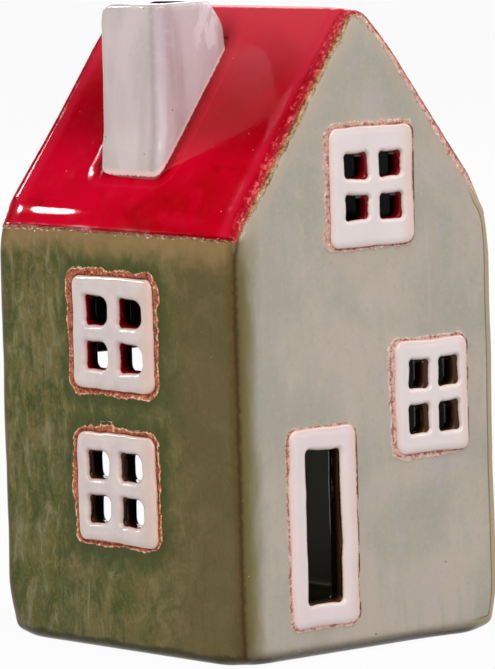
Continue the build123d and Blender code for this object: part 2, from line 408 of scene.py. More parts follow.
class Recipe:
    """A procedural material under construction. Lengths in its nodes are in millimetres."""

    def __init__(self, name):
        self.material = bpy.data.materials.new(name)
        self.material.use_nodes = True
        self.tree = self.material.node_tree
        self.shader = self.tree.nodes["Principled BSDF"]
        place = self.add("ShaderNodeTexCoord").outputs["Object"]
        scaled = self.add("ShaderNodeVectorMath", {0: place, "Scale": 1 / MM}, operation="SCALE")
        self.place = scaled.outputs[0]
        split = self.add("ShaderNodeSeparateXYZ", {0: self.place})
        self.x, self.y, self.z = split.outputs

    def add(self, kind, inputs=None, **settings):
        """A node with its settings, and its inputs linked or set."""
        node = self.tree.nodes.new(kind)
        for key, value in settings.items():
            setattr(node, key, value)
        for key, value in (inputs or {}).items():
            self.put(node.inputs[key], value)
        return node

    def put(self, socket, value):
        """Links an output to a socket, or sets the socket's value."""
        if isinstance(value, bpy.types.NodeSocket):
            self.tree.links.new(value, socket)
        else:
            socket.default_value = value

    def field(self, name):
        """A value that the mesh carries for each vertex."""
        return self.add("ShaderNodeAttribute", attribute_name=name).outputs["Fac"]

    def maths(self, operation, a, b=0.0):
        """One sum on values."""
        return self.add("ShaderNodeMath", {0: a, 1: b}, operation=operation).outputs[0]

    def plus(self, *values):
        """The sum of several values."""
        total = values[0]
        for value in values[1:]:
            total = self.maths("ADD", total, value)
        return total

    def times(self, a, b):
        """The product of two values."""
        return self.maths("MULTIPLY", a, b)

    def stretched(self, x=1.0, y=1.0, z=1.0):
        """The place, scaled apart along each axis, for streaks."""
        inputs = {0: self.place, 1: (x, y, z)}
        return self.add("ShaderNodeVectorMath", inputs, operation="MULTIPLY").outputs[0]

    def noise(self, size, detail=2.0, roughness=0.5, place=None, seed=0.0, bend=0.0):
        """Noise from 0 to 1 with features of about that size in millimetres."""
        inputs = {0: place or self.place, 1: (seed, seed, seed)}
        where = self.add("ShaderNodeVectorMath", inputs, operation="ADD").outputs[0]
        inputs = {
            "Vector": where,
            "Scale": 1 / size,
            "Detail": detail,
            "Roughness": roughness,
            "Distortion": bend,
        }
        return self.add("ShaderNodeTexNoise", inputs).outputs["Fac"]

    def ragged(self, size, reach, seed=0.0):
        """Noise about 0 that reaches about that many millimetres, for uneven borders."""
        centred = self.maths("SUBTRACT", self.noise(size, 4.0, 0.65, seed=seed), 0.5)
        return self.times(centred, 2 * reach)

    def step(self, value, low, high):
        """0 below low, 1 above high and smooth between them. High may be the lower, which turns it round."""
        if low > high:
            return self.maths("SUBTRACT", 1.0, self.step(value, high, low))
        inputs = {"Value": value, "From Min": low, "From Max": high}
        return self.add("ShaderNodeMapRange", inputs, interpolation_type="SMOOTHSTEP").outputs[0]

    def band(self, value, low, high, soft):
        """1 between low and high, fading over soft on both sides."""
        rise = self.step(value, low - soft, low + soft)
        fall = self.step(value, high + soft, high - soft)
        return self.times(rise, fall)

    def mix(self, factor, a, b, share=1.0):
        """A colour between a and b."""
        if share != 1.0:
            factor = self.times(factor, share)
        node = self.add("ShaderNodeMix", {0: factor, 6: a, 7: b}, data_type="RGBA")
        return node.outputs[2]

    def between(self, value, low, high, first, second):
        """A colour that goes from the first to the second as a value goes from low to high."""
        return self.mix(self.step(value, low, high), colour(*first), colour(*second))

    def coats(self, base, *layers):
        """A base colour with coats laid over it, each as (where it lies, its colour, how much it covers)."""
        for where, shade, share in layers:
            base = self.mix(where, base, colour(*shade), share)
        return base

    def blend(self, factor, a, b):
        """A value between a and b."""
        return self.add("ShaderNodeMix", {0: factor, 2: a, 3: b}, data_type="FLOAT").outputs[0]

    def specks(self, size, share, reach, seed=0.0):
        """1 on scattered small dots: one in a share of the cells of that size, reach of a cell across."""
        wobble = self.add("ShaderNodeTexNoise", {"Vector": self.place, "Scale": 2.2, "Detail": 2.0})
        bent = self.add(
            "ShaderNodeVectorMath", {0: wobble.outputs["Color"], "Scale": 0.5}, operation="SCALE"
        )
        inputs = {0: self.place, 1: bent.outputs[0]}
        where = self.add("ShaderNodeVectorMath", inputs, operation="ADD").outputs[0]
        inputs = {0: where, 1: (seed, seed, seed)}
        where = self.add("ShaderNodeVectorMath", inputs, operation="ADD").outputs[0]
        cells = self.add("ShaderNodeTexVoronoi", {"Vector": where, "Scale": 1 / size})
        near = self.step(cells.outputs["Distance"], reach, 0.4 * reach)
        pick = self.add("ShaderNodeSeparateColor", {0: cells.outputs["Color"]}).outputs[0]
        return self.times(near, self.step(pick, share + 0.01, share))

    def bump(self, height, strength, distance, normal=None):
        """A normal from a height, where distance is the depth in millimetres."""
        inputs = {"Height": height, "Strength": strength, "Distance": distance * MM}
        if normal is not None:
            inputs["Normal"] = normal
        return self.add("ShaderNodeBump", inputs).outputs["Normal"]

    def finish(self, base, roughness, normal=None, **plain):
        """Sets the shader's colour, roughness and normal, and any plain values by socket name."""
        self.put(self.shader.inputs["Base Color"], base)
        self.put(self.shader.inputs["Roughness"], roughness)
        if normal is not None:
            self.put(self.shader.inputs["Normal"], normal)
        for key, value in plain.items():
            self.shader.inputs[key.replace("_", " ")].default_value = value
        return self.material


GLAZE_SPECULAR = 0.17
# Bare clay in its pits, between them and on its crumbs, the pits darkened by painted shade and the crumbs
# lightened partly by a painted highlight: plain, and where each field of the mesh lies
TERRACOTTA = ((108, 44, 26), (176, 94, 62), (242, 198, 160))
CLAY_TINTS = {
    "pale": ((158, 104, 92), (212, 176, 162), (238, 216, 204)),
    "mossy": ((112, 78, 46), (168, 142, 106), (200, 184, 154)),
    "stained": ((96, 0, 12), (168, 40, 48), (222, 130, 112)),
    "burnt": ((34, 12, 6), (84, 34, 18), (206, 160, 120)),
}


def shaded_by_height(r, height, dark, mid, light):
    """A colour that goes from dark in the pits to light on the crumbs: painted shade in the pits, and on the
    crumbs a painted highlight laid with the cream of the crumbs themselves.
    """
    return r.coats(
        colour(*dark), (r.step(height, 0.14, 0.42), mid, 1.0), (r.step(height, 0.66, 0.92), light, 1.0)
    )


def clay_colours(r):
    """Bare fired clay: terracotta, and paler, mossy, stained red or burnt where fields say so."""
    grain = r.noise(0.34, 3.0, 0.8, seed=11.0)
    # This height sets painted shade in the pits and a painted highlight on the crumbs
    height = r.plus(r.times(r.field("crumb"), 0.85), r.times(grain, 1.6), -0.74)
    base = shaded_by_height(r, height, *TERRACOTTA)
    for field, colours in CLAY_TINTS.items():
        base = r.mix(r.field(field), base, shaded_by_height(r, height, *colours))
    return base


def olive_glaze(r, gap):
    """The side walls' mottled olive glaze: darker near the frames, browner at the edges, with drips, and pale
    streaks towards the rear that are a painted sheen.
    """
    broad = r.noise(19.0, 3.0, 0.55, seed=3.0, bend=0.6)
    cloud = r.noise(7.0, 4.0, 0.65, seed=9.0, bend=0.9)
    fine = r.noise(0.9, 3.0, 0.75, seed=7.0)
    streaks = r.noise(3.6, 4.0, 0.65, place=r.stretched(z=0.32), seed=1.0, bend=1.0)
    rear = r.step(r.plus(r.y, r.times(broad, 20.0)), 4.0, 24.0)
    near = r.plus(gap, r.times(r.noise(4.5, 4.0, 0.6, seed=5.0, bend=0.6), 11.0), -5.5)
    front = r.plus(r.y, r.times(broad, 16.0), -8.0)
    eave = r.plus(r.field("eave"), r.times(cloud, 9.0), -4.5)
    low = r.plus(r.z, r.ragged(2.6, 0.6, 21.0), r.ragged(9.0, 1.2, 22.0))
    return r.coats(
        r.between(broad, 0.38, 0.62, (84, 84, 26), (104, 94, 46)),
        (r.step(cloud, 0.5, 0.68), (130, 116, 74), 0.6),
        (r.step(cloud, 0.48, 0.32), (58, 68, 8), 0.7),
        (r.times(r.step(streaks, 0.5, 0.62), r.blend(rear, 0.3, 0.7)), (48, 60, 4), 0.85),
        # Pale streaks towards the rear: a painted sheen on the rippled glaze
        (r.times(r.step(streaks, 0.46, 0.34), rear), (130, 128, 96), 0.6),
        (r.step(fine, 0.52, 0.7), (142, 124, 80), 0.4),
        (r.step(fine, 0.44, 0.28), (58, 58, 14), 0.5),
        (r.step(near, 7.5, 2.0), (54, 66, 6), 0.8),
        (r.step(front, -10.0, -32.0), (96, 80, 42), 0.7),
        (r.step(eave, -9.0, -1.0), (146, 116, 74), 0.8),
        (r.band(low, 1.0, 2.4, 0.5), (46, 42, 4), 0.85),
        (r.step(low, 1.2, 0.5), (104, 76, 40), 0.7),
    )


def gable_glaze(r, gable):
    """The gables' grey-green glaze, with beige, lavender and bluish clouds and olive edges."""
    broad = r.noise(24.0, 3.0, 0.5, seed=13.0, bend=0.4)
    cloud = r.noise(10.0, 4.0, 0.6, seed=15.0, bend=0.5)
    fine = r.noise(1.2, 4.0, 0.7, seed=17.0)
    brushed = r.noise(5.0, 4.0, 0.6, place=r.stretched(z=0.22), seed=23.0, bend=0.4)
    corner = r.plus(r.x, r.times(brushed, 6.0), -3.0)
    edge = r.times(r.step(r.z, 88.0, 100.0), r.step(r.plus(gable, r.ragged(3.0, 0.8)), 6.5, 2.0))
    low = r.plus(r.z, r.ragged(2.0, 0.4, 27.0))
    return r.coats(
        r.between(broad, 0.36, 0.64, (166, 160, 146), (182, 170, 156)),
        (r.step(cloud, 0.52, 0.7), (180, 166, 166), 0.5),
        (r.step(brushed, 0.52, 0.68), (158, 160, 150), 0.4),
        (r.step(brushed, 0.46, 0.32), (188, 176, 164), 0.35),
        (r.step(fine, 0.52, 0.72), (194, 182, 170), 0.3),
        (r.step(fine, 0.42, 0.28), (140, 132, 116), 0.3),
        (r.step(corner, -32.0, -38.0), (106, 96, 44), 0.9),
        (edge, (186, 168, 150), 0.6),
        (r.step(low, 4.5, 1.6), (134, 122, 98), 0.5),
        (r.step(low, 1.7, 0.8), (52, 42, 26), 0.85),
    )


def red_glaze(r):
    """The roof's deep red glaze: pinker at the ridge, where a painted sheen is laid with thinner glaze, with
    a band of painted sheen along the gables and painted shade beside the chimney and round its foot.
    """
    broad = r.noise(26.0, 2.0, 0.5, seed=31.0, bend=0.5)
    drift = r.noise(9.0, 3.0, 0.55, place=r.stretched(y=0.5), seed=37.0, bend=0.7)
    from_foot = r.plus(r.field("foot_gap"), r.ragged(3.0, 0.9, 33.0))
    thin_glaze_and_sheen = r.plus(r.z, r.ragged(7.0, 2.6, 39.0), r.times(r.step(r.y, 0.0, -40.0), 2.0))
    rake = r.plus(r.field("gable"), r.ragged(4.0, 0.8, 35.0))
    return r.coats(
        r.between(broad, 0.35, 0.65, (170, 0, 16), (190, 0, 30)),
        (r.step(r.y, -4.0, 26.0), (204, 4, 42), 0.5),
        (r.step(drift, 0.52, 0.7), (202, 0, 40), 0.5),
        (r.step(drift, 0.44, 0.3), (150, 0, 8), 0.55),
        # Painted shade on the roof beside the chimney
        (r.times(r.step(r.x, -30.0, -22.0), r.step(r.z, 146.0, 134.0)), (142, 0, 8), 0.75),
        # Painted shade: a dark red ring on the glaze round the chimney's foot
        (r.band(from_foot, -1.0, 1.6, 0.9), (112, 0, 6), 0.8),
        (r.band(from_foot, 3.4, 3.9, 0.5), (200, 30, 60), 0.35),
        # Pinker towards the ridge: a painted sheen, laid with thinner glaze
        (r.step(thin_glaze_and_sheen, 126.0, 149.0), (188, 58, 68), 0.85),
        # A band of painted sheen along the gables' sloping edges
        (r.band(rake, -6.6, -3.8, 1.9), (194, 32, 58), 0.5),
        (r.step(rake, -4.4, -2.4), (150, 0, 22), 0.6),
    )


def reveal_colours(r, depth, shallow):
    """The glaze inside: red or brown in the windows, beige round the rear opening, dark in the room, and a
    painted glint along the inner edge of the lower windows' and the door's reveals.
    """
    window_red = r.between(shallow, 0.7, 2.9, (116, 0, 14), (14, 0, 2))
    window_brown = r.between(shallow, 0.6, 1.9, (64, 36, 18), (16, 12, 4))
    # A painted glint: a pale line along the inner edge of the reveals of the lower windows and the door
    wear_and_glint = r.times(r.band(depth, 3.85, 4.2, 0.1), r.step(r.field("upper"), 0.6, 0.4))
    reveal = r.mix(r.field("upper"), window_brown, window_red)
    reveal = r.coats(reveal, (wear_and_glint, (132, 120, 92), 0.6))
    rim = r.between(shallow, 0.8, 1.8, (150, 118, 82), (52, 46, 26))
    reveal = r.mix(r.step(r.y, 30.0, 34.0), reveal, rim)
    room = r.between(r.z, 84.0, 60.0, (14, 9, 2), (42, 41, 8))
    return r.mix(r.step(depth, 4.1, 4.5), reveal, room)


def outside_colours(r, gap, over_eave, on_gable, coarse, tiny):
    """The glazes of the walls, gables and roof, and the darker lines and grains where they meet, with a
    painted shadow line along the lower edge of the red glaze at the eaves.
    """
    gable, eave, crumb, grainy = [r.field(name) for name in ("gable", "eave", "crumb", "grainy")]
    sides = r.mix(r.step(over_eave, -0.12, 0.12), olive_glaze(r, gap), red_glaze(r))
    # Painted shadow: a dark red line along the lower edge of the red glaze at the eaves
    sides = r.coats(sides, (r.band(over_eave, 0.0, 0.8, 0.35), (96, 0, 8), 0.75))
    under = r.step(eave, 1.0, -1.0)
    at_right = r.times(r.step(r.x, 30.0, 35.0), r.step(r.y, 0.0, -20.0))
    rim = r.times(at_right, r.step(r.plus(eave, coarse), 6.0, 3.0))
    steady = r.plus(gable, r.times(tiny, 0.5))
    sparks = r.step(r.plus(crumb, r.ragged(0.4, 0.3, 45.0)), 0.55, 0.85)
    gaps = r.step(r.plus(crumb, r.ragged(0.4, 0.3, 47.0)), 0.35, 0.12)
    return r.coats(
        r.mix(r.step(on_gable, -0.3, 0.3), sides, gable_glaze(r, gable)),
        (r.times(r.band(gable, -2.4, 1.8, 1.9), under), (82, 60, 22), 0.62),
        (r.times(r.band(on_gable, -0.7, 0.5, 0.85), under), (54, 35, 6), 0.88),
        (r.times(rim, r.band(steady, -3.0, 2.9, 0.15)), (172, 154, 120), 0.9),
        (r.times(rim, r.band(steady, 2.85, 3.2, 0.18)), (92, 72, 42), 0.8),
        (r.times(grainy, sparks), (212, 92, 92), 0.75),
        (r.times(grainy, gaps), (104, 0, 12), 0.8),
    )


def house_material():
    """The glazes of the whole clay body and its bare clay, each where its part of the surface lies."""
    r = Recipe("house_glazes")
    gap, depth = r.field("frame_gap"), r.field("depth")
    coarse, tiny = r.ragged(1.6, 1.0, 41.0), r.ragged(0.5, 0.3, 43.0)
    over_eave = r.plus(r.field("eave"), r.times(coarse, 0.6), tiny)
    on_gable = r.plus(r.field("gable"), coarse, tiny)
    shallow = r.plus(depth, r.times(tiny, 1.6))
    outside = outside_colours(r, gap, over_eave, on_gable, coarse, tiny)
    inside = r.maths("MAXIMUM", r.step(depth, 1.0, 1.3), r.step(gap, -0.7, -1.0))
    base = r.mix(inside, outside, reveal_colours(r, depth, shallow))
    bare = r.step(r.plus(r.field("bare"), r.ragged(0.35, 0.5, 49.0)), 0.42, 0.58)
    base = r.mix(bare, base, clay_colours(r))

    rear_gap = r.plus(r.field("rear_gap"), r.times(coarse, 0.4), tiny)
    wear_and_glint = r.times(r.step(rear_gap, 1.5, 0.7), r.step(depth, 1.4, 1.0))
    glazed = r.times(r.maths("SUBTRACT", 1.0, bare), r.step(depth, 0.8, 0.4))
    dots = r.times(r.specks(4.4, 0.16, 0.07), glazed)
    pits = r.times(r.specks(2.4, 0.1, 0.1, seed=4.3), glazed)
    base = r.coats(
        base, (wear_and_glint, (158, 116, 80), 1.0), (dots, (52, 30, 18), 0.8), (pits, (218, 196, 168), 0.5)
    )

    gloss = r.blend(r.step(r.noise(7.0, 3.0, 0.6, seed=51.0), 0.4, 0.7), 0.08, 0.17)
    roughness = r.blend(r.maths("MAXIMUM", bare, wear_and_glint), gloss, 0.72)
    roughness = r.blend(r.times(r.field("grainy"), 0.6), roughness, 0.6)
    roughness = r.blend(r.step(depth, 3.7, 4.2), roughness, 0.5)
    roof = r.times(r.step(over_eave, -0.3, 0.5), r.step(on_gable, 0.3, -0.3))
    ripples = r.plus(r.noise(3.2, 2.0, 0.5, seed=61.0), r.times(r.noise(1.1, 2.0, 0.5), 0.25))
    ripples = r.times(ripples, r.blend(roof, 1.0, 0.3))
    grit = r.times(r.times(bare, r.noise(0.3, 3.0, 0.7)), 2.0)
    holes = r.times(r.maths("MAXIMUM", dots, pits), -1.3)
    normal = r.bump(r.plus(ripples, r.times(roof, 0.9), holes, grit), 0.5, 0.16)
    return r.finish(base, roughness, normal, Specular_IOR_Level=GLAZE_SPECULAR)


def frame_material():
    """The frames' white glaze: pink-tinted, thin at its edges, stained where it rolls into the panes."""
    r = Recipe("white_glaze")
    height, border, front = r.field("height"), r.field("border"), r.field("front")
    broad = r.noise(6.0, 3.0, 0.5, seed=71.0, bend=0.4)
    lilac = r.noise(9.0, 2.0, 0.5, place=r.stretched(z=0.5), seed=75.0)
    tiny = r.ragged(0.7, 0.3, 73.0)
    aside = r.plus(r.field("aside"), r.times(tiny, 0.4))
    wear_and_glint = r.plus(border, r.times(tiny, 1.6))
    base = r.coats(
        r.between(broad, 0.35, 0.65, (208, 192, 188), (218, 202, 196)),
        (r.step(lilac, 0.5, 0.68), (212, 202, 210), 0.4),
        (front, (232, 220, 220), 0.6),
        (r.field("door"), (224, 206, 206), 0.6),
        (r.step(aside, 0.55, 0.98), (222, 184, 166), 0.6),
        (r.step(wear_and_glint, 1.3, 0.3), (224, 188, 172), 0.5),
        (r.specks(3.2, 0.2, 0.08, seed=2.0), (92, 66, 56), 0.8),
    )
    seeping = r.plus(r.field("inner"), r.times(tiny, 0.35))
    thin_glaze_and_sheen = r.mix(front, colour(214, 160, 148), colour(230, 204, 180))
    base = r.mix(r.step(seeping, 0.12, 0.4), base, thin_glaze_and_sheen, 0.6)
    grain = r.plus(r.times(r.noise(0.34, 3.0, 0.8, seed=11.0), 1.6), -0.35)
    # The clay of the relief's sides, with painted shade and a painted highlight following the grain's height
    bare = shaded_by_height(r, grain, (110, 48, 28), (152, 76, 48), (206, 150, 116))
    rosy = shaded_by_height(r, grain, (150, 92, 80), (206, 168, 154), (232, 206, 192))
    side = r.times(r.step(r.plus(height, tiny), 0.46, 0.3), r.step(border, 0.5, 0.25))
    base = r.mix(side, base, r.mix(front, bare, rosy, 0.8))
    dark = r.mix(r.field("upper"), colour(44, 26, 14), colour(124, 0, 18))
    base = r.mix(r.step(seeping, 0.5, 0.72), base, dark)
    gloss = r.blend(r.step(r.noise(4.0, 2.0, 0.5), 0.4, 0.7), 0.07, 0.14)
    normal = r.bump(r.noise(2.2, 2.0, 0.5, seed=77.0), 0.4, 0.12)
    return r.finish(base, r.blend(side, gloss, 0.7), normal, Specular_IOR_Level=0.5)


def chimney_material():
    """The chimney's lavender-grey glaze, with pinholes, painted shade along its rounded front-left corner, a
    painted highlight high on its front face and a cream line at its foot.
    """
    r = Recipe("grey_glaze")
    broad = r.noise(10.0, 3.0, 0.5, place=r.stretched(z=0.3), seed=81.0, bend=0.4)
    fine = r.noise(1.6, 3.0, 0.6, seed=83.0)
    glow = r.noise(3.4, 4.0, 0.6, place=r.stretched(z=0.35), seed=93.0, bend=0.6)
    front = r.step(r.plus(r.y, r.ragged(3.0, 0.6, 85.0)), -5.8, -7.4)
    # Where the painted highlight lies: high on the front face, near its right end, with a ragged edge from
    # the glow noise
    high = r.times(r.step(r.z, 130.0, 143.0), r.times(front, r.band(r.x, -20.0, -13.5, 1.6)))
    # Painted shade along the rounded corner between the left face and the front face
    painted_arris_shade = r.times(r.band(r.y, -6.4, -4.4, 1.3), r.step(r.x, -27.0, -29.0))
    foot = r.plus(r.field("foot"), r.ragged(0.7, 0.35, 87.0))
    dots = r.specks(3.6, 0.2, 0.08, seed=6.0)
    flue = r.step(r.plus(r.field("flue"), r.ragged(1.0, 0.25, 89.0)), 1.5, 0.8)
    plain = r.between(broad, 0.35, 0.65, (186, 172, 168), (206, 190, 188))
    rosy = r.between(broad, 0.38, 0.62, (184, 165, 168), (202, 189, 191))
    base = r.coats(
        r.mix(front, plain, rosy),
        (r.times(high, r.step(glow, 0.46, 0.54)), (226, 214, 222), 0.75),
        (painted_arris_shade, (158, 142, 140), 0.6),
        (r.step(fine, 0.52, 0.72), (212, 198, 198), 0.25),
        (r.step(foot, 1.35, 0.95), (232, 190, 182), 0.85),
        (r.step(foot, 0.6, 0.4), (150, 20, 30), 1.0),
        (dots, (86, 62, 60), 0.75),
        (flue, (46, 32, 30), 1.0),
    )
    gloss = r.blend(r.step(r.noise(5.0, 2.0, 0.5), 0.4, 0.7), 0.06, 0.13)
    normal = r.bump(r.plus(r.noise(2.8, 2.0, 0.5), r.times(dots, -1.2)), 0.45, 0.14)
    return r.finish(base, gloss, normal, Specular_IOR_Level=0.5)


def cup_material():
    """Thin pressed aluminium with fine drawing lines."""
    r = Recipe("cup_metal")
    lines = r.noise(0.5, 2.0, 0.6, place=r.stretched(z=0.12))
    base = r.between(r.noise(6.0, 3.0, 0.5), 0.35, 0.7, (206, 207, 210), (226, 226, 228))
    return r.finish(base, r.blend(lines, 0.2, 0.36), r.bump(lines, 0.3, 0.03), Metallic=1.0)


def wax_material():
    """White paraffin with a faint bloom."""
    r = Recipe("candle_wax")
    bloom = r.noise(4.0, 4.0, 0.6)
    base = r.between(bloom, 0.4, 0.7, (238, 234, 224), (246, 243, 236))
    normal = r.bump(r.noise(1.5, 3.0, 0.6), 0.25, 0.08)
    roughness = r.blend(bloom, 0.32, 0.5)
    return r.finish(base, roughness, normal, Subsurface_Weight=0.3, Subsurface_Scale=0.002)


def wick_material():
    """Waxed cotton braid."""
    r = Recipe("braided_wick")
    fibres = r.noise(0.16, 3.0, 0.6, place=r.stretched(z=0.35))
    base = r.between(fibres, 0.35, 0.65, (206, 194, 170), (240, 234, 220))
    return r.finish(base, 0.7, r.bump(fibres, 0.5, 0.04))


def steel_material():
    """Thin tinned sheet."""
    r = Recipe("sustainer_metal")
    marks = r.noise(1.2, 3.0, 0.6)
    base = r.mix(marks, colour(150, 150, 152), colour(186, 186, 188))
    return r.finish(base, r.blend(marks, 0.25, 0.45), Metallic=1.0)


def joined(name, nodes, grow):
    """One mesh of several nodes, each grown a little so that they overlap where they meet."""
    points, faces, count = [], [], 0
    for node in nodes:
        mesh = frame["nodes"][node].data
        welded, index = np.unique(np.round(vertices_of(mesh) / MM, 3), axis=0, return_inverse=True)
        welded, index = welded * MM, index.ravel()
        polygons = [[int(index[v]) for v in face.vertices] for face in mesh.polygons]
        polygons = [p for p in polygons if len(set(p)) > 2]
        shell = mesh_from("welded", welded, polygons)
        points.append(welded + normals_of(shell) * grow)
        bpy.data.meshes.remove(shell)
        faces += [[v + count for v in p] for p in polygons]
        count += len(welded)
    return mesh_from(name, np.concatenate(points), faces)


def remeshed(mesh, voxel, smoothing):
    """The mesh as one even, closed skin, with its edges softened."""
    holder = linked("remesh", mesh)
    grid = holder.modifiers.new("grid", "REMESH")
    grid.mode = "VOXEL"
    grid.voxel_size = voxel
    soften = holder.modifiers.new("soften", "SMOOTH")
    soften.factor = 0.5
    soften.iterations = smoothing
    depsgraph = bpy.context.evaluated_depsgraph_get()
    result = bpy.data.meshes.new_from_object(holder.evaluated_get(depsgraph))
    bpy.data.objects.remove(holder)
    bpy.data.meshes.remove(mesh)
    return result


def soften_corners(points):
    """Pulls in the corners that are worn rounder: at the base, the eaves and the gables' tips."""
    side = np.minimum(points[:, 0] - LEFT_X, RIGHT_X - points[:, 0])
    end = np.minimum(points[:, 1] - FRONT_Y, REAR_Y - points[:, 1])
    to_front, to_rear = points[:, 1] - FRONT_Y, REAR_Y - points[:, 1]
    to_middle = np.column_stack([-np.sign(points[:, 0]), -np.sign(points[:, 1])])
    on_left = points[:, 0] < 0
    moved = points.copy()

    # The base's corners go in and up
    base = 0.55 * (BASE_WEAR * ramp(side + end + points[:, 2], 15 * MM, 0))
    moved[:, :2] += to_middle * base[:, None]
    moved[:, 2] += base * ramp(points[:, 2], 14 * MM, 0) * ramp(side + end, 14 * MM, 2 * MM)

    # The front edge lifts off the surface between its corners, and the rear gable leans in at its top
    bow = ramp(to_front, 4 * MM, 0) * ramp(points[:, 2], 4 * MM, 0)
    moved[:, 2] += FRONT_BOW * bow * ramp(np.abs(points[:, 0] + 6 * MM), 38 * MM, 18 * MM)
    moved[:, 1] -= REAR_LEAN * ramp(to_rear, 14 * MM, 0) * ramp(points[:, 2], 100 * MM, 124 * MM)

    # The gables' tips drop
    tip = TIP_WEAR * ramp(end + 0.8 * (RIDGE_Z - points[:, 2]), 10 * MM, 0)
    moved[:, 2] -= tip
    moved[:, 1] += 0.5 * to_middle[:, 1] * tip

    # The eaves go in, most of all at their ends
    eave_z = np.where(on_left, LEFT_EAVE_Z, RIGHT_EAVE_Z) + 2 * MM
    reach = (side + np.abs(points[:, 2] - eave_z)) / np.where(on_left, 10 * MM, 15 * MM)
    left = 0.4 + 0.6 * ramp(end, 12 * MM, 0)
    right = 0.5 + 0.6 * ramp(end, 22 * MM, 0) + 0.3 * ramp(to_front, 20 * MM, 4 * MM)
    eave = MM * ramp(reach, 1, 0) * np.where(on_left, left, right)
    moved[:, 0] += to_middle[:, 0] * eave
    moved[:, 2] -= 0.4 * eave
    return moved


def house_fields(points):
    """The distances, in millimetres, that the glazes follow: from the edges, the frames and the openings."""
    depth = depth_in_section(points)
    from_end = np.minimum(points[:, 1] - FRONT_Y, REAR_Y - points[:, 1])
    eave = np.where(points[:, 0] < 0, LEFT_EAVE_Z, RIGHT_EAVE_Z)
    gap, upper = nearest_frame(points)
    return {
        "gable": (depth - from_end) / MM,
        "eave": (points[:, 2] - eave) / MM,
        "depth": np.minimum(depth, from_end) / MM,
        "frame_gap": gap / MM,
        "upper": upper,
        "rear_gap": rear_opening_gap(points) / MM,
        "foot_gap": foot_gap(points) / MM,
    }


def glaze_relief(points, fields):
    """How far the glaze swells off the clay: uneven all over, dripping on the walls, beaded on the roof."""
    drip_size, drip_stretch, drip_depth = 3.4 * MM, [1, 1, 0.3], 0.1 * MM
    rake_bead, rake_bead_at, rake_bead_width = 0.2 * MM, -4.6, 1.9
    eave_bead, eave_bead_at, eave_bead_width = 0.36 * MM, 4.8, 1.3
    swell = octaves(points, 1, (34, 0.28 * MM), (13, 0.15 * MM), (5, 0.04 * MM))
    drips = waves(points * drip_stretch, drip_size, 4) * ramp(points[:, 1], 2 * MM, 26 * MM)
    on_side = ramp(np.abs(points[:, 0]), RIGHT_X - 2 * MM, RIGHT_X - 0.5 * MM)
    swell += drip_depth * drips * on_side * ramp(points[:, 2], LEFT_EAVE_Z, LEFT_EAVE_Z - 8 * MM)
    on_roof = ramp(fields["eave"] + fields["depth"], 0.5, 4.0) * (fields["gable"] < 1.0)
    swell *= 1 - 0.7 * on_roof
    swell += rake_bead * hump(fields["gable"], rake_bead_at, rake_bead_width) * on_roof
    bead = hump(fields["eave"], eave_bead_at, eave_bead_width)
    bead = bead * (points[:, 0] < 0) * (fields["depth"] < 2)
    along = ramp(points[:, 1], 4 * MM, 22 * MM) * ramp(points[:, 1], 42 * MM, 34 * MM)
    swell += eave_bead * bead * along
    return swell * ramp(points[:, 2], 0, 3 * MM)


def make_house(material):
    """The clay body as one glazed skin, slightly uneven as a hand-built house is, and its fields."""
    mesh = remeshed(joined("house_body", SLABS, OVERLAP), SKIN_VOXEL, 5)
    points, normals = vertices_of(mesh), normals_of(mesh)
    fields = house_fields(points)
    for name, values in fields.items():
        add_field(mesh, name, values)
    swell = glaze_relief(points, fields)
    move_vertices(mesh, soften_corners(points) + normals * swell[:, None])
    return new_piece("house_body", mesh, "house", material, "grey_green_glaze", *SLABS), fields


class Skin:
    """The surface of the clay body, on which the thinner layers are laid."""

    def __init__(self, house, fields, material):
        self.points = vertices_of(house.data)
        self.normals = normals_of(house.data)
        self.corners = np.array([list(face.vertices) for face in house.data.polygons])
        self.tree = BVHTree.FromObject(house, bpy.context.evaluated_depsgraph_get())
        self.fields = fields
        self.material = material

    def lay(self, points, lifts):
        """Points brought to the skin and lifted off it, with its normals and fields there."""
        found = [self.tree.find_nearest(Vector(point)) for point in points]
        places = np.array([place[0] for place in found])
        near = self.corners[[place[2] for place in found]]
        weights = 1 / (np.linalg.norm(self.points[near] - places[:, None], axis=2) + OVERLAP)
        weights /= weights.sum(axis=1, keepdims=True)
        normals = (self.normals[near] * weights[:, :, None]).sum(axis=1)
        normals /= np.linalg.norm(normals, axis=1, keepdims=True)
        fields = {name: (values[near] * weights).sum(axis=1) for name, values in self.fields.items()}
        return places + normals * lifts[:, None], normals, fields


def pane_boxes(node, flat, seat):
    """A frame's openings as lowest and highest corners in its own plane, read from its seat."""
    flat = flat[seat]
    middle = (flat.min(axis=0) + flat.max(axis=0)) / 2
    if node == "door_frame":
        return [(flat.min(axis=0), flat.max(axis=0))]
    quarter = (flat > middle) @ [1, 2]
    return [(flat[quarter == q].min(axis=0), flat[quarter == q].max(axis=0)) for q in range(4)]


def roll(gap, radius):
    """How far a rounded edge of that radius has dropped, at a distance from where it ends."""
    left = np.clip(radius - gap, 0, radius)
    return radius - np.sqrt(radius**2 - left**2)


def nearest_pane(u, v, boxes):
    """Each point's gap from the nearest pane, and that pane's centre and half size."""
    gaps = np.array([rounded_gap(u, v, a, b, PANE_CORNER) for a, b in boxes])
    own = gaps.argmin(axis=0)
    centres = np.array([(a + b) / 2 for a, b in boxes])[own]
    halves = np.array([(b - a) / 2 for a, b in boxes])[own]
    return np.maximum(gaps.min(axis=0), 0), centres, halves


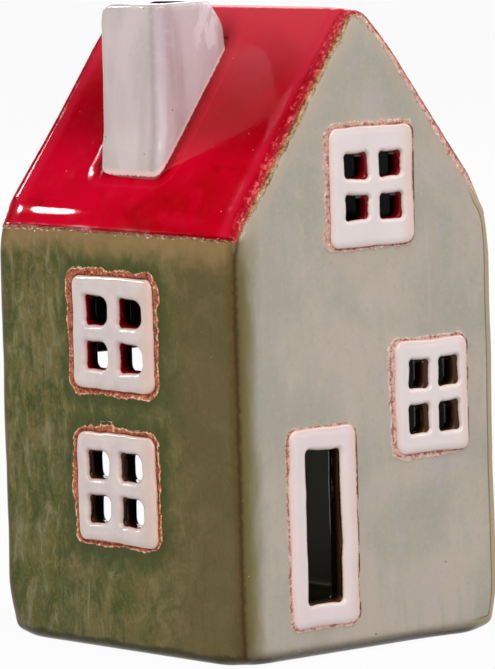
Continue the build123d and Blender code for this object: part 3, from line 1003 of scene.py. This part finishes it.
def frame_shift(node, aside, gap, to_centre, halves):
    """How far a frame's points move along its wall, and towards their pane's centre at its corners."""
    side, (border_shift, left_shift, right_shift), _ = FRAMES[node]
    share = 0.5 + 0.5 * np.clip(to_centre[:, 0] / halves[:, 0], -1, 1)
    shifted = border_shift * ramp(aside, 1.0, 0.6)
    shifted += (right_shift + (left_shift - right_shift) * share) * ramp(gap, PANE_ROLL, 0)
    ends = np.abs(to_centre / halves)
    at_corner = ramp(np.minimum(ends[:, 0], ends[:, 1]), 0.35, 1.0) * ramp(gap, 1.6 * MM, 0)
    pull = np.where(to_centre[:, 0] < 0, 0.62, -0.34) if side == "left" else -0.28
    inwards = to_centre / np.linalg.norm(to_centre, axis=1)[:, None]
    return shifted * MM, inwards * (at_corner * pull * MM)[:, None]


def make_frame(node, seed, material):
    """A relief frame that rolls softly into its panes, sunk a little into the wall that it is pressed on."""
    side = FRAMES[node][0]
    outward, along = wall_axes(side)
    low, high = corners(node)
    ground = min(low @ outward, high @ outward)
    plain = vertices_of(frame["nodes"][node].data)
    seat = (plain @ outward - ground < OVERLAP) & (-frame_gap(plain, node) > 1 * MM)
    boxes = pane_boxes(node, np.column_stack([plain @ along, plain[:, 2]]), seat)

    mesh = remeshed(joined(node, [node], 0.0), FRAME_VOXEL, 7)
    points = vertices_of(mesh)
    height, border = points @ outward - ground, -frame_gap(points, node)
    u, v = points @ along, points[:, 2]
    flat = np.column_stack([u, v, np.zeros(len(points))])
    gap, centres, halves = nearest_pane(u, v, boxes)
    aside = (u - (low + high) @ along / 2) / (abs((high - low) @ along) / 2)
    shifted, inwards = frame_shift(node, aside, gap, centres - flat[:, :2], halves)
    drop = roll(gap, PANE_ROLL)

    add_field(mesh, "height", height / MM)
    add_field(mesh, "border", border / MM)
    add_field(mesh, "inner", drop / PANE_ROLL + 0.3 * ramp(height, 0.5 * MM, 0) * (gap < 0.4 * MM))
    kinds = {"upper": "upper" in node, "front": side == "front", "door": node == "door_frame"}
    for name, holds in kinds.items():
        add_field(mesh, name, np.full(len(points), float(holds)))
    add_field(mesh, "aside", aside)

    crown_height, crown_reach, settle = 0.3 * MM, 1.8 * MM, 0.12 * MM
    uneven = ((9, 0.3 * MM), (3.2, 0.12 * MM))
    points = points + np.outer(octaves(flat, seed, *uneven) + inwards[:, 0] + shifted, along)
    points += np.outer(octaves(flat, seed + 2, *uneven) + inwards[:, 1], [0, 0, 1])
    top = ramp(height, 0.05 * MM, RELIEF - 0.1 * MM)
    crown = crown_height * ramp(border, 0, crown_reach) - settle + octaves(flat, seed + 4, (6, 0.08 * MM))
    lift = top * (crown - drop) - (1 - top) * SEAT_DEPTH
    move_vertices(mesh, points + np.outer(lift, outward))
    new_piece(node + "_glazed", mesh, "house", material, "white_glaze", node)


def flue_box():
    """The flue's clear box, as its lowest and highest corner."""
    openings = frame["record"]["physics"]["openings"]
    box = next(opening["box_m"] for opening in openings if opening["name"] == "flue")
    return np.array(box[0]), np.array(box[1])


def make_chimney(material):
    """The open chimney, softly rounded, its foot sunk into the roof and its corner by the ridge worn back."""
    mesh = remeshed(joined("chimney", ["chimney"], 0.0), CHIMNEY_VOXEL, CHIMNEY_SMOOTHING)
    points, normals = vertices_of(mesh), normals_of(mesh)
    low, high = corners("chimney")
    above = points @ ROOF_NORMAL - ROOF_OFFSET
    sunk = FOOT_SINK * ramp(above, 3.2 * MM, 0.4 * MM)
    flare = FOOT_FLARE * ramp(points[:, 0], low[0] + 3 * MM, low[0] + 0.5 * MM) * ramp(above, 6 * MM, 0)
    wear_and_glint = RIM_WEAR * ramp(high[1] - points[:, 1] + high[2] - points[:, 2], 6 * MM, 0)
    tip = points[points[:, 0].argmax()]
    worn_tip = RIM_TIP_WEAR * ramp(np.linalg.norm((points - tip) * [1, 0, 1], axis=1), 6 * MM, 0)
    points = points - np.outer(sunk, [0, 0, 1]) - np.outer(flare + worn_tip, [1, 0, 0])
    points -= np.outer(wear_and_glint, [0, 0.5, 1])
    low, high = flue_box()
    past = np.abs(points - (low + high) / 2) - (high - low) / 2
    add_field(mesh, "foot", (points @ ROOF_NORMAL - ROOF_OFFSET) / MM)
    add_field(mesh, "flue", np.maximum(past[:, 0], past[:, 1]) / MM)
    swell = octaves(points, 5, (15, 0.2 * MM), (4, 0.05 * MM))
    move_vertices(mesh, points + normals * swell[:, None])
    new_piece("chimney_glazed", mesh, "house", material, "grey_glaze", "chimney")


def strip(name, skin, grid, closed, lift, slot, **extra):
    """A layer laid on the skin along a grid of points, which runs along it and then across it."""
    shape = grid.shape[:2]
    points, outward, fields = skin.lay(grid.reshape(-1, 3), np.broadcast_to(lift, shape).ravel())
    mesh = mesh_from(name, points, net(*shape, closed_rows=closed))
    if np.sum(normals_of(mesh) * outward) < 0:
        mesh.flip_normals()
    for key, values in fields.items():
        add_field(mesh, key, values)
    for key, values in extra.items():
        add_field(mesh, key, np.broadcast_to(values, shape).ravel())
    new_piece(name, mesh, "house", skin.material, slot)


def at_edges(reach, width):
    """1 at a strip's two edges and 0 further in than the width, so that the edges can dip into the skin."""
    return np.maximum(ramp(reach, reach[0] + width, reach[0]), ramp(reach, reach[-1] - width, reach[-1]))


def grains_on(grid, seed):
    """Crumbly noise from 0 to 1 on a grid of points."""
    return 0.5 + octaves(grid, seed, (0.8, 0.36), (0.4, 0.34), (2.6, 0.15))


def crumbly(inside, level, height, soft=0.07):
    """The lift of bare clay with a glaze bead round it, where inside is the distance from its border."""
    bed, bead_height, bead_width, sharp = 0.05 * MM, 0.13 * MM, 0.5 * MM, 0.1
    bare = ramp(inside, -soft * MM, soft * MM)
    bead = bead_height * np.exp(np.minimum(inside, 0) / bead_width) * min(1, sharp / soft)
    return bare, bare * (bed + height * level) + (1 - bare) * bead


def outline_steps(half_u, half_v, radius):
    """Places round a rounded rectangle: the arc's centre or the side's start, and the outward angle."""
    turn = math.pi / 2
    signs = ((1, 1), (-1, 1), (-1, -1), (1, -1))
    ways = ((-1, 0), (0, -1), (1, 0), (0, 1))
    steps = []
    for k, (su, sv) in enumerate(signs):
        cu, cv = su * (half_u - radius), sv * (half_v - radius)
        for t in np.linspace(0, turn, max(4, round(radius * 1.5 * turn / STRIP_STEP)), endpoint=False):
            steps.append((cu, cv, t + k * turn))
        run = 2 * ((half_u, half_v)[k % 2] - radius)
        for s in np.linspace(0, run, max(2, round(run / STRIP_STEP)), endpoint=False):
            steps.append((cu + ways[k][0] * s, cv + ways[k][1] * s, (k + 1) * turn))
    return steps


def ring(centre, along, up, half_u, half_v, radius, reach):
    """Points round a rounded rectangle at each distance of reach, and the outward direction of each row."""
    steps = outline_steps(half_u, half_v, radius)
    anchors = np.array([centre + along * u + up * v for u, v, _ in steps])
    arms = np.array([along * math.cos(a) + up * math.sin(a) for _, _, a in steps])
    return anchors[:, None] + arms[:, None] * (radius + reach)[:, None], arms


def margin_widths(arms, along, widths):
    """The width of bare clay round a frame, from those right and left of it, above and below it."""
    u, v = arms @ along, arms[:, 2]
    beside = np.where(u > 0, widths[0], widths[1]) * u**2
    return (beside + np.where(v > 0, widths[2], widths[3]) * v**2) * MM


def make_margins(skin):
    """The rough clay rings round the windows and the door."""
    up = np.array([0, 0, 1.0])
    for k, (node, (side, _, (*widths, pale))) in enumerate(FRAMES.items()):
        seed = 100 + 9 * k
        low, high = corners(node)
        along = wall_axes(side)[1]
        on_front = side == "front"
        half_u, half_v = abs((high - low) @ along) / 2, (high[2] - low[2]) / 2
        reach = np.arange(-1.3 * MM, (max(widths) + 1.6) * MM, STRIP_STEP)
        grid, arms = ring((low + high) / 2, along, up, half_u, half_v, FRAME_CORNER, reach)
        wide = margin_widths(arms, along, widths)[:, None]
        fray = octaves(grid, seed, (1.3, 0.36), (0.6, 0.24)) * MM * np.clip(wide / MM, 0.3, 1.0)
        inside = wide * (1 + octaves(grid, seed + 2, (4.0, 0.32))) + fray - reach
        lip = (0.2 if on_front else 0.5) * hump(inside, 0.2 * MM, 0.17 * MM)
        crack = (0.35 if on_front else 0.5) * hump(reach, 0.1 * MM, 0.28 * MM)
        level = np.clip(grains_on(grid, seed + 3) + lip - crack, 0, 1)
        bare, lift = crumbly(inside, level, (0.2 if on_front else 0.4) * MM, 0.4 if on_front else 0.07)
        split = hump(reach, 0.4 * MM, 0.2 * MM) * on_front * ramp(arms @ along, 0.7, 0.95)[:, None]
        split = split * ramp(octaves(grid, seed + 8, (3.4, 1.0)), -0.5, 0.1)
        bare, lift = np.maximum(bare, split), lift + 0.06 * MM * split
        lift = lift - EDGE_DIP * ramp(reach, reach[-1] - 0.6 * MM, reach[-1])
        name = node.replace("frame", "margin")
        slot = "grey_green_glaze" if on_front else "olive_glaze"
        layers = {"crumb": level * (1 - 0.8 * split), "bare": bare, "pale": pale, "burnt": 0.95 * split}
        strip(name, skin, grid, True, lift, slot, **layers)


def rake_path(start, stop):
    """Places and inward directions in X and Z on the gable's sloping edges, between two shares of them."""
    eave = np.where(OUTLINE[:, 0] < 0, LEFT_EAVE_Z, RIGHT_EAVE_Z)
    path = OUTLINE[OUTLINE[:, 1] > eave - 1.2 * MM]
    path = path[np.argsort(path[:, 0], kind="stable")]
    lengths = np.concatenate([[0], np.cumsum(np.linalg.norm(np.diff(path, axis=0), axis=1))])
    at = np.linspace(start, stop, round(lengths[-1] * (stop - start) / STRIP_STEP)) * lengths[-1]
    places = np.column_stack([np.interp(at, lengths, path[:, k]) for k in range(2)])
    ahead = np.gradient(places, axis=0)
    ahead /= np.linalg.norm(ahead, axis=1)[:, None]
    return places, np.column_stack([ahead[:, 1], -ahead[:, 0]])


def rake_grid(end, start, stop, reach):
    """Points along a gable's sloping edge, from its roof side to its gable side."""
    places, inward = rake_path(start, stop)
    onto, back = np.maximum(reach, 0), np.maximum(-reach, 0)
    edge, away = (FRONT_Y, 1) if end == "front" else (REAR_Y, -1)
    x = places[:, :1] + inward[:, :1] * onto
    z = places[:, 1:] + inward[:, 1:] * onto
    return np.stack([x, np.broadcast_to(edge + away * back, x.shape), z], axis=-1)


# Each band's gable, the shares of the sloping edges between which it runs, and in millimetres where it
# starts and stops, positive on the gable and negative on the roof, and how high its crumbs stand
RAKES = {
    "front_left_rake": ("front", 0.0, 0.5, -0.8, 1.8, 0.2),
    "front_right_rake": ("front", 0.5, 1.0, -0.6, 2.7, 0.16),
    "rear_left_rake": ("rear", 0.0, 0.5, 0.1, 1.6, 0.22),
    "rear_right_rake": ("rear", 0.5, 1.0, 0.1, 1.6, 0.22),
}


def make_rakes(skin):
    """The crumbly bands where the roof's red glaze stops along the gables' sloping edges."""
    for k, (name, (end, start, stop, first, last, height)) in enumerate(RAKES.items()):
        seed = 300 + 12 * k
        reach = np.arange(first - 3.6, last + 1.6, STRIP_STEP / MM) * MM
        grid = rake_grid(end, start, stop, reach)
        sway = octaves(grid, seed, (3.2, 0.5), (1.3, 0.4))
        fray = octaves(grid, seed + 2, (0.7, 0.3))
        taper = 0.3 + 0.7 * ramp(grid[..., 2], LEFT_EAVE_Z, LEFT_EAVE_Z + 9 * MM)
        far = (last + (0.3 + 0.2 * last) * sway) * taper + fray
        near = first + octaves(grid, seed + 3, (2.4, 0.5)) + fray
        inside = np.minimum(far * MM - reach, reach - near * MM)
        middle = hump(reach / MM, 0.5 * (first + last), 0.35) * (last > 1)
        level = np.clip(grains_on(grid, seed + 4) - 0.25 * middle, 0, 1)
        bare, lift = crumbly(inside, level, height * MM, 0.4 if name == "front_left_rake" else 0.2)
        grainy = ramp(reach, (first - 3.0) * MM, (first - 0.8) * MM) * (1 - bare) * (reach < 0)
        lift = lift + 0.1 * MM * grainy * level - EDGE_DIP * at_edges(reach, 0.5 * MM)
        stained = ramp(reach, (first + 1.7) * MM, first * MM)
        outer = 0.9 * ramp(reach, (first + 0.7) * MM, (last - 0.5) * MM)
        tint = "mossy" if name == "front_left_rake" else "pale"
        layers = {"crumb": level, "bare": bare, "grainy": grainy, "stained": stained, tint: outer}
        strip(name, skin, grid, False, lift, "red_glaze", **layers)


def make_eaves(skin):
    """The ragged lines of burnt clay and cream crumbs where the red glaze stops along the eaves."""
    inset = 1.6 * MM
    reach = np.arange(-2.4, 1.8, STRIP_STEP / MM) * MM
    count = round((REAR_Y - FRONT_Y - 2 * inset) / STRIP_STEP)
    y = np.linspace(FRONT_Y + inset, REAR_Y - inset, count)[:, None]
    sides = {"left": (LEFT_X, LEFT_EAVE_Z), "right": (RIGHT_X, RIGHT_EAVE_Z)}
    for k, (side, (x, z)) in enumerate(sides.items()):
        seed = 360 + 9 * k
        grid = np.stack(np.broadcast_arrays(x, y, z + reach), axis=-1)
        place = reach / MM - octaves(grid, seed, (3.0, 0.4), (0.9, 0.34))
        line = 0.24 * MM - np.abs(place + 0.05) * MM
        rear = ramp(y, 8 * MM, 36 * MM)
        below = hump(place, -0.5, 0.28)
        islands = octaves(grid, seed + 2, (0.9, 1.0)) - 0.2 + 0.35 * rear + 1.3 * (below - 1)
        islands = islands * 0.6 * MM
        grains = grains_on(grid, seed + 3)
        bare, lift = crumbly(np.maximum(line, islands), grains, 0.2 * MM)
        level = np.clip(grains + 0.5 * (islands > line), 0, 1)
        layers = {"crumb": level, "bare": bare, "burnt": 0.6 * (line > islands), "mossy": 0.6}
        lift = lift - EAVE_DIP * at_edges(reach, 0.9 * MM)
        strip(side + "_eave_line", skin, grid, False, lift, "red_glaze", **layers)


def make_pool(skin):
    """The fillet of red glaze that ran down against the chimney's foot."""
    low, high = foot_box()
    centre_y, centre_x = (low[0] + high[0]) / 2, (low[1] + high[1]) / 2
    centre_z = (ROOF_OFFSET - ROOF_NORMAL[0] * centre_x) / ROOF_NORMAL[2]
    along = np.array([0, 1.0, 0])
    up = np.cross(ROOF_NORMAL, along)
    half_u, half_v = (high[0] - low[0]) / 2, (high[1] - low[1]) / 2 / ROOF_NORMAL[2]
    reach = np.arange(-0.6, 6.4, 0.2) * MM
    centre = np.array([centre_x, centre_y, centre_z])
    grid, _ = ring(centre, along, up, half_u, half_v, FOOT_CORNER, reach)
    t = np.clip(reach / POOL_REACH, 0, 1)
    at_rear = ramp(grid[..., 1], high[0] - 9 * MM, high[0] + 1 * MM) * ramp(grid[..., 0], high[1], low[1])
    deep = POOL_DEPTH + POOL_REAR_DEPTH * at_rear
    lift = deep * (1 - t) ** 2 * (1 + octaves(grid, 400, (6.0, 0.25))) - 0.06 * MM * t
    strip("chimney_foot_glaze", skin, grid, True, lift, "red_glaze")


def revolved(name, profile, around, ripple=None):
    """A closed mesh from a profile of (radius, height), turned about Z, whose radius a ripple may change."""
    profile = np.asarray(profile, float)
    points = []
    for a in np.linspace(0, 2 * math.pi, around, endpoint=False):
        radius = profile[:, 0] + (ripple(a, profile) if ripple else 0)
        points.append(np.column_stack([radius * math.cos(a), radius * math.sin(a), profile[:, 1]]))
    return mesh_from(name, np.concatenate(points), net(around, len(profile), True, True))


def arc(centre, radius, start, stop, count):
    """Points of (radius, height) on an arc, between angles in degrees."""
    angles = np.radians(np.linspace(start, stop, count))
    return [(centre[0] + radius * math.cos(a), centre[1] + radius * math.sin(a)) for a in angles]


def make_cup(seat, radius, height, wax_top):
    """The cup, pressed from thin sheet: raised in the middle, fluted up its side and beaded at its rim."""

    def flutes(a, profile):
        level = profile[:, 1]
        on_side = ramp(level, 1.6 * MM, 4 * MM) * ramp(level, height - 0.8 * MM, height - 3 * MM)
        return FLUTE_DEPTH * on_side * (profile[:, 0] > 0.9 * radius) * math.cos(FLUTES * a)

    inner = radius - CUP_SHEET
    outside = [(PINHOLE, CUP_RISE), (radius * 0.55, CUP_RISE), (radius * 0.6, 0), (radius * 0.86, 0)]
    outside += arc((radius - CUP_FOOT, CUP_FOOT), CUP_FOOT, -90, 0, 7)
    outside += [(radius, height * share) for share in np.linspace(0.12, 0.9, 16)]
    rim = arc((radius, height - CUP_BEAD), CUP_BEAD, -60, 90, 9)
    inside = [(inner, height - 1.2 * MM), (inner, wax_top), (inner, 2 * MM)]
    inside += [(radius - CUP_FOOT, CUP_SHEET), (PINHOLE, CUP_RISE + CUP_SHEET)]
    mesh = revolved("tealight_cup", outside + rim + inside, 360, flutes)
    move_vertices(mesh, vertices_of(mesh) + seat)
    new_piece("tealight_cup_pressed", mesh, "tealight", cup_material(), "cup_metal", "tealight_cup")


def make_wax(seat, edge, wax_top):
    """The wax, which climbs a little at the cup's wall and at the wick, and sank as it set."""

    def meniscus(r):
        wall = math.exp(-(edge + WAX_GAP - r) / (0.7 * MM))
        wick = math.exp(-(r - 0.8 * MM) / (0.9 * MM))
        return wax_top + 0.5 * MM * wall + 0.4 * MM * wick - 0.35 * MM * math.exp(-((r / (6 * MM)) ** 2))

    top = [(r, meniscus(r)) for r in np.linspace(WAX_BORE, edge, 40)[::-1]]
    below = [(WAX_BORE, WAX_BOTTOM), (edge - CUP_FOOT, WAX_BOTTOM), (edge, 2 * MM)]
    mesh = revolved("tealight_wax", below + top, 180)
    points = vertices_of(mesh)
    on_top = ramp(points[:, 2], wax_top - 1.2 * MM, wax_top - 0.6 * MM)
    points[:, 2] += on_top * octaves(points, 500, (5, 0.07 * MM))
    move_vertices(mesh, points + seat)
    new_piece("tealight_wax_poured", mesh, "tealight", wax_material(), "wax", "tealight_wax")


def make_tealight():
    """The tealight's cup, wax, wick and sustainer in detail, each where its node is."""
    low, high = corners("tealight_cup")
    seat = np.array([(low[0] + high[0]) / 2, (low[1] + high[1]) / 2, low[2]])
    radius = (high[0] - low[0]) / 2 - CUP_BEAD
    wax_top = corners("tealight_wax")[1][2] - low[2]
    make_cup(seat, radius, high[2] - low[2], wax_top)
    make_wax(seat, radius - CUP_SHEET - WAX_GAP, wax_top)
    make_wick(seat)
    make_sustainer(seat)


def make_wick(seat):
    """A three-strand cotton wick, waxed stiff and leaning a little at its tip."""
    bottom, top = corners("tealight_wick")
    length, thick = top[2] - bottom[2], (top[0] - bottom[0]) / 2
    strand, orbit = 0.56 * thick, 0.44 * thick
    strands, rings, sides = 3, 120, 12
    points, faces = [], []
    for s in range(strands):
        first = len(points)
        for t in np.linspace(0, 1, rings):
            turn = 2 * math.pi * (s / strands + t * length / WICK_TWIST)
            lean = WICK_LEAN * t**3
            centre = np.array([orbit * math.cos(turn) + lean, orbit * math.sin(turn), t * length])
            close = 1 - 0.55 * float(ramp(t, 0.97, 1.0))
            for a in np.linspace(0, 2 * math.pi, sides, endpoint=False):
                points.append(centre + strand * close * np.array([math.cos(a), math.sin(a), 0]))
        faces += [(a, d, c, b) for a, b, c, d in net(rings, sides, closed_columns=True, first=first)]
        last = first + (rings - 1) * sides
        faces += [tuple(range(first + sides - 1, first - 1, -1)), tuple(range(last, last + sides))]
    mesh = mesh_from("tealight_wick", np.array(points) + [seat[0], seat[1], bottom[2]], faces)
    new_piece("tealight_wick_braided", mesh, "tealight", wick_material(), "wick", "tealight_wick")


def make_sustainer(seat):
    """The tinned disc and neck that hold the wick's foot."""
    bottom, top = corners("wick_sustainer")
    radius, height = (top[0] - bottom[0]) / 2, top[2] - bottom[2]
    sheet, neck, bore, bevel = 0.3 * MM, 1.05 * MM, 0.72 * MM, 0.15 * MM
    flare = [(2.2 * MM, sheet), (1.5 * MM, sheet + 0.25 * MM), (neck, sheet + 0.8 * MM)]
    profile = [(bore, 0), (radius - bevel, 0), (radius, bevel), (radius - bevel, sheet)]
    profile += flare + [(neck, height * share) for share in (0.5, 0.7, 0.9)]
    profile += [(neck - 0.1 * MM, height), (bore, height)]
    mesh = revolved("wick_sustainer", profile, 72)
    move_vertices(mesh, vertices_of(mesh) + np.array([seat[0], seat[1], bottom[2]]))
    metal = steel_material()
    new_piece("wick_sustainer_pressed", mesh, "tealight", metal, "sustainer_metal", "wick_sustainer")


def make_stage():
    """A pale floor that curves up all round at a distance, and shows as white behind the house."""
    around = 96
    profile = [(0.5, 0.0), (2.0, 0.0), (7.0, 0.0), (8.0, 0.12), (8.8, 0.6), (9.1, 1.5)]
    angles = np.linspace(0, 2 * math.pi, around, endpoint=False)
    points = [(0.0, 0.0, 0.0)]
    for radius, height in profile:
        points += [(radius * math.cos(a), radius * math.sin(a), height) for a in angles]
    faces = [(0, 1 + j, 1 + (j + 1) % around) for j in range(around)]
    faces += net(len(profile), around, closed_columns=True, first=1)
    mesh = mesh_from("studio_floor", points, faces)
    mesh.shade_smooth()
    floor = linked("studio_floor", mesh)
    r = Recipe("studio_floor")
    r.finish((0.5, 0.5, 0.5, 1), 0.9, Specular_IOR_Level=0.1)
    path = r.add("ShaderNodeLightPath").outputs
    seen = r.plus(path["Is Camera Ray"], path["Is Glossy Ray"], path["Is Transmission Ray"])
    share = r.times(r.maths("MINIMUM", seen, 1.0), 0.95)
    glow = r.add("ShaderNodeEmission").outputs[0]
    mixed = r.add("ShaderNodeMixShader", {0: share, 1: r.shader.outputs[0], 2: glow}).outputs[0]
    r.put(r.tree.nodes["Material Output"].inputs["Surface"], mixed)
    mesh.materials.append(r.material)


def direction(azimuth, elevation):
    """The way out from the house at an azimuth and an elevation in radians."""
    level = math.cos(elevation)
    return Vector((math.sin(azimuth) * level, -math.cos(azimuth) * level, math.sin(elevation)))


def set_up(holder, place, right, up, back):
    """Puts a lamp or a camera at its place, along three axes."""
    turn = Matrix((right, up, back)).transposed().to_4x4()
    holder.matrix_world = Matrix.Translation(place) @ turn


def area_light(name, azimuth, elevation, distance, width, height, power, aim):
    """An upright soft box that faces a place on the house."""
    lamp = bpy.data.lights.new(name, "AREA")
    lamp.shape = "RECTANGLE"
    lamp.size, lamp.size_y = width, height
    lamp.energy = power
    away = direction(math.radians(azimuth), math.radians(elevation))
    across = Vector((0, 0, 1)).cross(away).normalized()
    set_up(linked(name, lamp), Vector(aim) + away * distance, across, away.cross(across), away)


def make_lights():
    """A plain, soft studio: a dim world, broad boxes all round and two small ones for the left slope."""
    world = bpy.data.worlds.new("studio")
    bpy.context.scene.world = world
    world.use_nodes = True
    background = world.node_tree.nodes["Background"]
    background.inputs["Color"].default_value = (1, 1, 1, 1)
    background.inputs["Strength"].default_value = 0.03
    for name, settings in LAMPS.items():
        area_light(name, *settings)


def make_camera():
    """The camera of the photograph."""
    back = direction(CAMERA_AZIMUTH, CAMERA_ELEVATION)
    level = Vector((math.cos(CAMERA_AZIMUTH), math.sin(CAMERA_AZIMUTH), 0))
    rise = back.cross(level)
    right = level * math.cos(CAMERA_ROLL) + rise * math.sin(CAMERA_ROLL)
    up = rise * math.cos(CAMERA_ROLL) - level * math.sin(CAMERA_ROLL)
    data = bpy.data.cameras.new("camera")
    data.sensor_fit = "VERTICAL"
    data.lens = CAMERA_FOCAL_PIXELS * data.sensor_height / PHOTO_HEIGHT_PIXELS
    data.clip_start = 0.05
    data.clip_end = 50
    camera = linked("camera", data)
    place = CAMERA_TARGET + back * CAMERA_DISTANCE + right * CAMERA_RIGHT_SHIFT + up * CAMERA_UP_SHIFT
    set_up(camera, place, right, up, back)
    bpy.context.scene.camera = camera


bpy.context.scene.view_settings.view_transform = "Standard"
make_camera()
make_lights()
make_stage()
glazes = house_material()
house, house_values = make_house(glazes)
white = frame_material()
for index, frame_node in enumerate(FRAMES):
    make_frame(frame_node, 20 + 10 * index, white)
make_chimney(chimney_material())
skin = Skin(house, house_values, glazes)
make_margins(skin)
make_rakes(skin)
make_eaves(skin)
make_pool(skin)
make_tealight()
